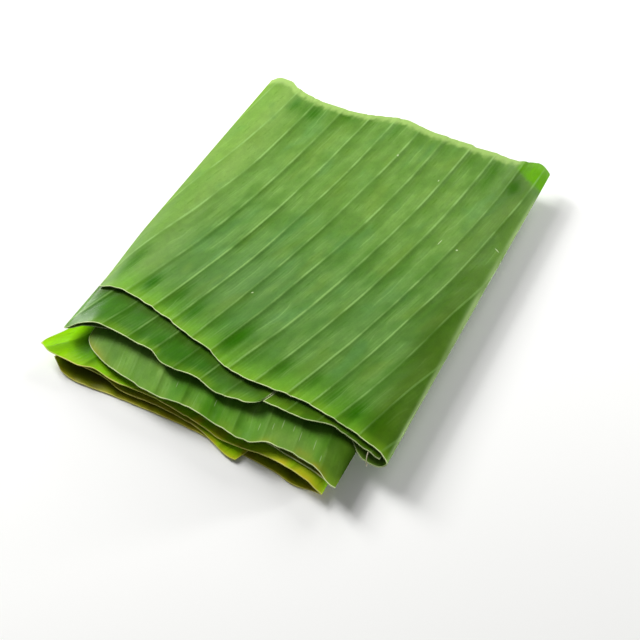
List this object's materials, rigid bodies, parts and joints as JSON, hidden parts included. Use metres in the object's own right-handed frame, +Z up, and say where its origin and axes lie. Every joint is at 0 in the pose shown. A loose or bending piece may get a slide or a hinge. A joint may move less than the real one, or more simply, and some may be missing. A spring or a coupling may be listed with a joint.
{
  "type": "folded banana leaf",
  "caption": "Flat packet of fresh banana leaf: wide half blades folded over on themselves and stacked, for wrapping or lining food",
  "frame": {"origin": "on the surface the packet rests on, under the middle of its footprint", "axes": "+X across the folds to the right, +Y along the folds from the wavy front margin to the cut back edge, +Z up"},
  "size_m": [0.2581, 0.3348, 0.026],
  "materials": {
    "leaf_top_blade": "waxy green leaf, half matt",
    "leaf_middle_blade": "waxy green leaf, half matt",
    "leaf_bottom_blade": "waxy yellow-green leaf, half matt"
  },
  "bodies": {
    "root": {"leaf_top": "leaf_top_blade", "leaf_middle": "leaf_middle_blade", "leaf_bottom": "leaf_bottom_blade"}
  },
  "joints": []
}
